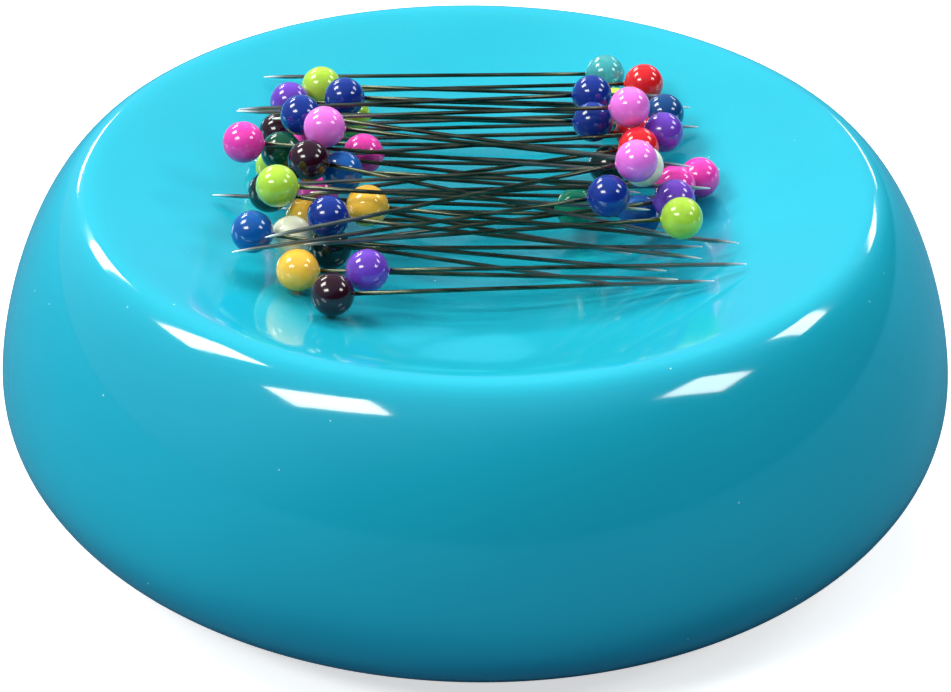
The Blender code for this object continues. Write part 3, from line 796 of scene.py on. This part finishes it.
for name in screws:
    screw_low, screw_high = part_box(name)
    bearing = screw_low.z + HEAD_HEIGHT
    ridges = np.arange(bearing + THREAD_START, screw_high.z - THREAD_END, THREAD_PITCH / 2)
    thread = SHANK_RADIUS - THREAD_DEPTH * (np.arange(len(ridges)) % 2)
    screw_line = np.concatenate(
        [
            [(ON_AXIS, screw_low.z)],
            rounded(np.array([head_radius, screw_low.z]), HEAD_ROUND, (1, 0), (0, 1)),
            [(head_radius, bearing), (SHANK_RADIUS - THREAD_DEPTH, bearing)],
            np.stack([thread, ridges], axis=-1),
            [(0.5 * SHANK_RADIUS, screw_high.z), (ON_AXIS, screw_high.z)],
        ]
    )
    place = [*middle(name), 0.0]
    screw_shape = turned(screw_line, PLUG_AROUND) + place
    fastener = sewn_skin("fastener_" + name, screw_shape, plated_screws)
    arms = []
    for turn in (0.0, math.pi / 2):
        reach = CROSS_REACH * np.array([1.0, -1.0, -1.0, 1.0])
        width = CROSS_HALF_WIDTH * np.array([1.0, 1.0, -1.0, -1.0])
        across = reach * math.cos(turn) - width * math.sin(turn)
        back = reach * math.sin(turn) + width * math.cos(turn)
        levels = [screw_low.z - CROSS_DEPTH, screw_low.z + CROSS_DEPTH]
        rings = np.stack([np.stack([across, back, np.full(4, z)], axis=-1) for z in levels])
        arms.append(("DIFFERENCE", sewn_skin("arm", rings + place, plated_screws)))
    machined(fastener, arms)
    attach(fastener, "dish")
    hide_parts(name)
print("screws made:", len(screws))

# %% [markdown]
# ## The floor
#
# The stage is a plain pale floor. A pale floor throws a lot of light back up and
# washes out the wall of a glossy dish. A maker of product pictures would stand black
# cards around the object. Here the floor looks pale to the camera, but sends only a
# little bluish light to the dish. It lies just under the feet, so that the two faces
# don't share one plane.

# %% Floor
FLOOR_SIZE = 6.0
FLOOR_DROP = 0.05 * MM
FLOOR_TONE = (0.82, 0.82, 0.82)
FLOOR_BOUNCE = (0.05, 0.16, 0.24)
FLOOR_GLOW = 0.62
floor_mesh = bpy.data.meshes.new("floor")
corner = FLOOR_SIZE / 2
floor_mesh.from_pydata(
    [(-corner, -corner, 0), (corner, -corner, 0), (corner, corner, 0), (-corner, corner, 0)],
    [],
    [(0, 1, 2, 3)],
)
floor = bpy.data.objects.new("floor", floor_mesh)
floor.location.z = -FLOOR_DROP
bpy.context.scene.collection.objects.link(floor)
floor_finish = Finish("floor")
floor_finish.set(
    Base_Color=(*FLOOR_TONE, 1.0),
    Roughness=0.9,
    Specular_IOR_Level=0.1,
    Emission_Color=(1.0, 1.0, 1.0, 1.0),
    Emission_Strength=FLOOR_GLOW,
)
dim_floor = floor_finish.add("ShaderNodeBsdfDiffuse", Color=(*FLOOR_BOUNCE, 1.0))
seen = floor_finish.add("ShaderNodeLightPath")
either = floor_finish.add("ShaderNodeMixShader")
floor_finish.join(seen.outputs["Is Camera Ray"], either.inputs[0])
floor_finish.join(dim_floor.outputs[0], either.inputs[1])
floor_finish.join(floor_finish.shader.outputs[0], either.inputs[2])
floor_finish.join(
    either.outputs[0], floor_finish.tree.nodes["Material Output"].inputs["Surface"]
)
floor_mesh.materials.append(floor_finish.material)

# %% [markdown]
# ## The lamps
#
# Two rows of soft rectangular lamps hang over the object, as in a small workroom.
# Their reflections draw the rim and put two short rows of glints on every ball. One
# big lamp would light the dish as well, but would leave the balls looking flat. A
# fill from behind lightens the bowl's front slope. It gives no reflection of its own.

# %% Lamps
LAMP_HEIGHT = 1.2
LAMP_SIZE = (0.62 * LAMP_HEIGHT, 0.34 * LAMP_HEIGHT)
LEFT_ROW = [(-0.72, -0.74), (-0.88, 0.15), (-0.88, 1.22), (-1.0, 2.5)]
RIGHT_ROW = [(1.18, -0.45), (1.2, 0.45), (1.1, 1.75), (1.15, 3.0)]
LEFT_POWER, RIGHT_POWER = 18.0, 12.0
LAMP_TINT = (1.0, 1.0, 0.92)
FILL_PLACE, FILL_SIZE, FILL_POWER = (0.0, 1.15, 1.25), 0.9, 26.0

for index, (across, back) in enumerate(LEFT_ROW + RIGHT_ROW):
    lamp = bpy.data.lights.new("lamp_%d" % (index + 1), "AREA")
    lamp.shape = "RECTANGLE"
    lamp.size, lamp.size_y = LAMP_SIZE
    lamp.energy = LEFT_POWER if across < 0 else RIGHT_POWER
    lamp.color = LAMP_TINT
    holder = bpy.data.objects.new(lamp.name, lamp)
    holder.location = (across * LAMP_HEIGHT, back * LAMP_HEIGHT, LAMP_HEIGHT)
    holder.visible_camera = False
    bpy.context.scene.collection.objects.link(holder)

fill = bpy.data.lights.new("fill", "AREA")
fill.size, fill.energy, fill.color = FILL_SIZE, FILL_POWER, LAMP_TINT
fill_holder = bpy.data.objects.new("fill", fill)
fill_holder.location = FILL_PLACE
fill_holder.rotation_euler = (-math.atan2(FILL_PLACE[1], FILL_PLACE[2]), 0.0, 0.0)
fill_holder.visible_camera = fill_holder.visible_glossy = False
bpy.context.scene.collection.objects.link(fill_holder)
print("lamps:", len(LEFT_ROW) + len(RIGHT_ROW), "and a fill from the back")

# %% [markdown]
# ## The room
#
# Glossy plastic shows the room around it. An even white room would bleach the dish's
# wall, so the room is pale above and behind, dim near the horizon, and a little
# brighter on the left. The camera itself sees a plain white backdrop.

# %% Room
ROOM_TONES = [(0.45, (0.015, 0.025, 0.035)), (0.52, (0.02, 0.07, 0.11)),
              (0.72, (0.25, 0.36, 0.53)), (0.95, (0.36, 0.42, 0.46))]
ROOM_TILT = (-0.45, 0.32, 0.82)
BACKDROP_TONE = (1.0, 1.0, 1.0)
room = bpy.data.worlds.new("room")
room.use_nodes = True
links = room.node_tree.links
direction = room.node_tree.nodes.new("ShaderNodeTexCoord")
tilt = room.node_tree.nodes.new("ShaderNodeVectorMath")
tilt.operation = "DOT_PRODUCT"
tilt.inputs[1].default_value = ROOM_TILT
upness = room.node_tree.nodes.new("ShaderNodeMapRange")
upness.inputs["From Min"].default_value = -1.0
tones = room.node_tree.nodes.new("ShaderNodeValToRGB")
while len(tones.color_ramp.elements) < len(ROOM_TONES):
    tones.color_ramp.elements.new(0.5)
for element, (position, tone) in zip(tones.color_ramp.elements, ROOM_TONES):
    element.position, element.color = position, (*tone, 1.0)
links.new(direction.outputs["Generated"], tilt.inputs[0])
links.new(tilt.outputs["Value"], upness.inputs["Value"])
links.new(upness.outputs[0], tones.inputs["Fac"])
links.new(tones.outputs[0], room.node_tree.nodes["Background"].inputs["Color"])
backdrop = room.node_tree.nodes.new("ShaderNodeBackground")
backdrop.inputs["Color"].default_value = (*BACKDROP_TONE, 1.0)
seen = room.node_tree.nodes.new("ShaderNodeLightPath")
either = room.node_tree.nodes.new("ShaderNodeMixShader")
links.new(seen.outputs["Is Camera Ray"], either.inputs[0])
links.new(room.node_tree.nodes["Background"].outputs[0], either.inputs[1])
links.new(backdrop.outputs[0], either.inputs[2])
links.new(either.outputs[0], room.node_tree.nodes["World Output"].inputs["Surface"])
bpy.context.scene.world = room
bpy.context.scene.view_settings.view_transform = "Standard"
print("room set")
